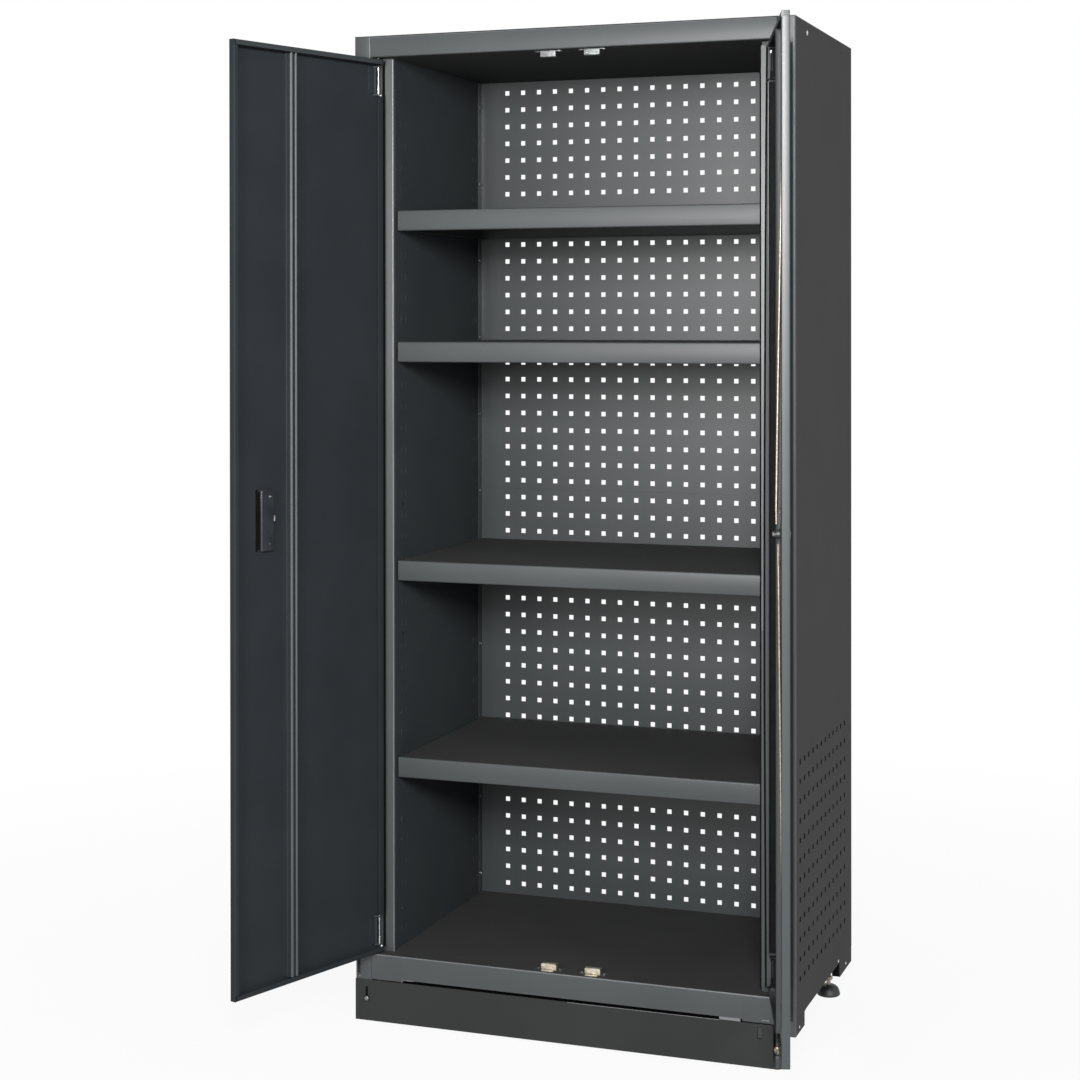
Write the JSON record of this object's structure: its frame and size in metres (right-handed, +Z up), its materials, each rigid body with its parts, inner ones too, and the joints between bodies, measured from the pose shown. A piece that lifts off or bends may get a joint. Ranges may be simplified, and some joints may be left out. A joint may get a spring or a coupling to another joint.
{
  "type": "pegboard tool cabinet",
  "caption": "Tall sheet-metal tool cabinet with a perforated pegboard back, adjustable shelves, hinged double doors with recessed handles and a rod lock, kick plate and levelling feet.",
  "frame": {"origin": "On the floor under the centre of the bounding box, with the doors open as pictured.", "axes": "+X to the viewer's right across the front, +Y from the front to the rear, +Z up."},
  "size_m": [1.0864, 0.9192, 2.02],
  "materials": {
    "anthracite_powder_coat": "anthracite grey powder coat, fine texture, low sheen",
    "bright_zinc": "bright zinc plate",
    "yellow_zinc": "yellow chromate zinc plate",
    "black_plastic": "moulded black, fine grain",
    "black_rubber": "black rubber, matt"
  },
  "bodies": {
    "carcass": {"back_flange_left": "anthracite_powder_coat", "back_flange_right": "anthracite_powder_coat", "back_panel_lower": "anthracite_powder_coat", "back_panel_upper": "anthracite_powder_coat", "bottom_catch_left": "bright_zinc", "bottom_catch_right": "bright_zinc", "bottom_rail": "anthracite_powder_coat", "ceiling_panel": "anthracite_powder_coat", "floor_panel": "anthracite_powder_coat", "front_foot_channel": "anthracite_powder_coat", "front_post_left": "anthracite_powder_coat", "front_post_right": "anthracite_powder_coat", "hinge_bracket_left_bottom": "bright_zinc", "hinge_bracket_left_top": "bright_zinc", "hinge_bracket_right_bottom": "bright_zinc", "hinge_bracket_right_top": "bright_zinc", "inner_wall_left": "anthracite_powder_coat", "inner_wall_right": "anthracite_powder_coat", "kick_plate": "anthracite_powder_coat", "kick_plate_screw": "bright_zinc", "rear_foot_channel": "anthracite_powder_coat", "rear_post_left": "anthracite_powder_coat", "rear_post_right": "anthracite_powder_coat", "shelf_1": "anthracite_powder_coat", "shelf_2": "anthracite_powder_coat", "shelf_3": "anthracite_powder_coat", "shelf_4": "anthracite_powder_coat", "side_panel_left": "anthracite_powder_coat", "side_panel_right": "anthracite_powder_coat", "top_catch_left": "bright_zinc", "top_catch_right": "bright_zinc", "top_cover": "anthracite_powder_coat", "top_rail": "anthracite_powder_coat"},
    "left_door": {"hinge_leaf_left_bottom": "bright_zinc", "hinge_leaf_left_top": "bright_zinc", "left_door_panel": "anthracite_powder_coat", "left_door_stiffener": "anthracite_powder_coat", "left_handle_clip": "bright_zinc", "left_handle_cup": "black_plastic"},
    "right_door": {"hinge_leaf_right_bottom": "bright_zinc", "hinge_leaf_right_top": "bright_zinc", "right_door_panel": "anthracite_powder_coat", "right_door_stiffener": "anthracite_powder_coat", "right_handle_cup": "black_plastic", "lock_barrel": "bright_zinc", "upper_rod_guide": "bright_zinc", "lower_rod_guide": "bright_zinc"},
    "lock": {"lock_spindle": "yellow_zinc", "lock_cam_nut": "bright_zinc"},
    "upper_rod": {"upper_lock_rod": "yellow_zinc"},
    "lower_rod": {"lower_lock_rod": "yellow_zinc"},
    "foot_front_left": {"foot_pad_front_left": "black_rubber", "foot_stem_front_left": "yellow_zinc"},
    "foot_front_right": {"foot_pad_front_right": "black_rubber", "foot_stem_front_right": "yellow_zinc"},
    "foot_rear_left": {"foot_pad_rear_left": "black_rubber", "foot_stem_rear_left": "yellow_zinc"},
    "foot_rear_right": {"foot_pad_rear_right": "black_rubber", "foot_stem_rear_right": "yellow_zinc"}
  },
  "joints": [
    {"name": "left_door_swing", "type": "hinge", "parent": "carcass", "child": "left_door", "pos_m": [-0.40559, -0.06636, 1], "axis": [0, 0, 1], "range_deg": [-1.6, 108.4]},
    {"name": "right_door_swing", "type": "hinge", "parent": "carcass", "child": "right_door", "pos_m": [0.41641, -0.06636, 1], "axis": [0, 0, 1], "range_deg": [-106.8, 3.2]},
    {"name": "upper_rod_slide", "type": "slide", "parent": "right_door", "child": "upper_rod", "axis": [0.0107, 0.0032, 0.9999], "range_m": [0, 0.015]},
    {"name": "lower_rod_slide", "type": "slide", "parent": "right_door", "child": "lower_rod", "axis": [0.0108, 0.0032, -0.9999], "range_m": [0, 0.015]},
    {"name": "lock_turn", "type": "hinge", "parent": "right_door", "child": "lock", "pos_m": [0.49835, -0.33776, 1.057], "axis": [-0.9573, -0.289, 0], "range_deg": [0, 90]},
    {"name": "foot_front_left_level", "type": "slide", "parent": "carcass", "child": "foot_front_left", "axis": [0, 0, -1], "range_m": [0, 0.012]},
    {"name": "foot_front_right_level", "type": "slide", "parent": "carcass", "child": "foot_front_right", "axis": [0, 0, -1], "range_m": [0, 0.012]},
    {"name": "foot_rear_left_level", "type": "slide", "parent": "carcass", "child": "foot_rear_left", "axis": [0, 0, -1], "range_m": [0, 0.012]},
    {"name": "foot_rear_right_level", "type": "slide", "parent": "carcass", "child": "foot_rear_right", "axis": [0, 0, -1], "range_m": [0, 0.012]}
  ],
  "couplings": [
    {"joint": "lower_rod_slide", "follows": "upper_rod_slide", "ratio": 1},
    {"joint": "lock_turn", "follows": "upper_rod_slide", "rad_per_m": 104.7}
  ]
}
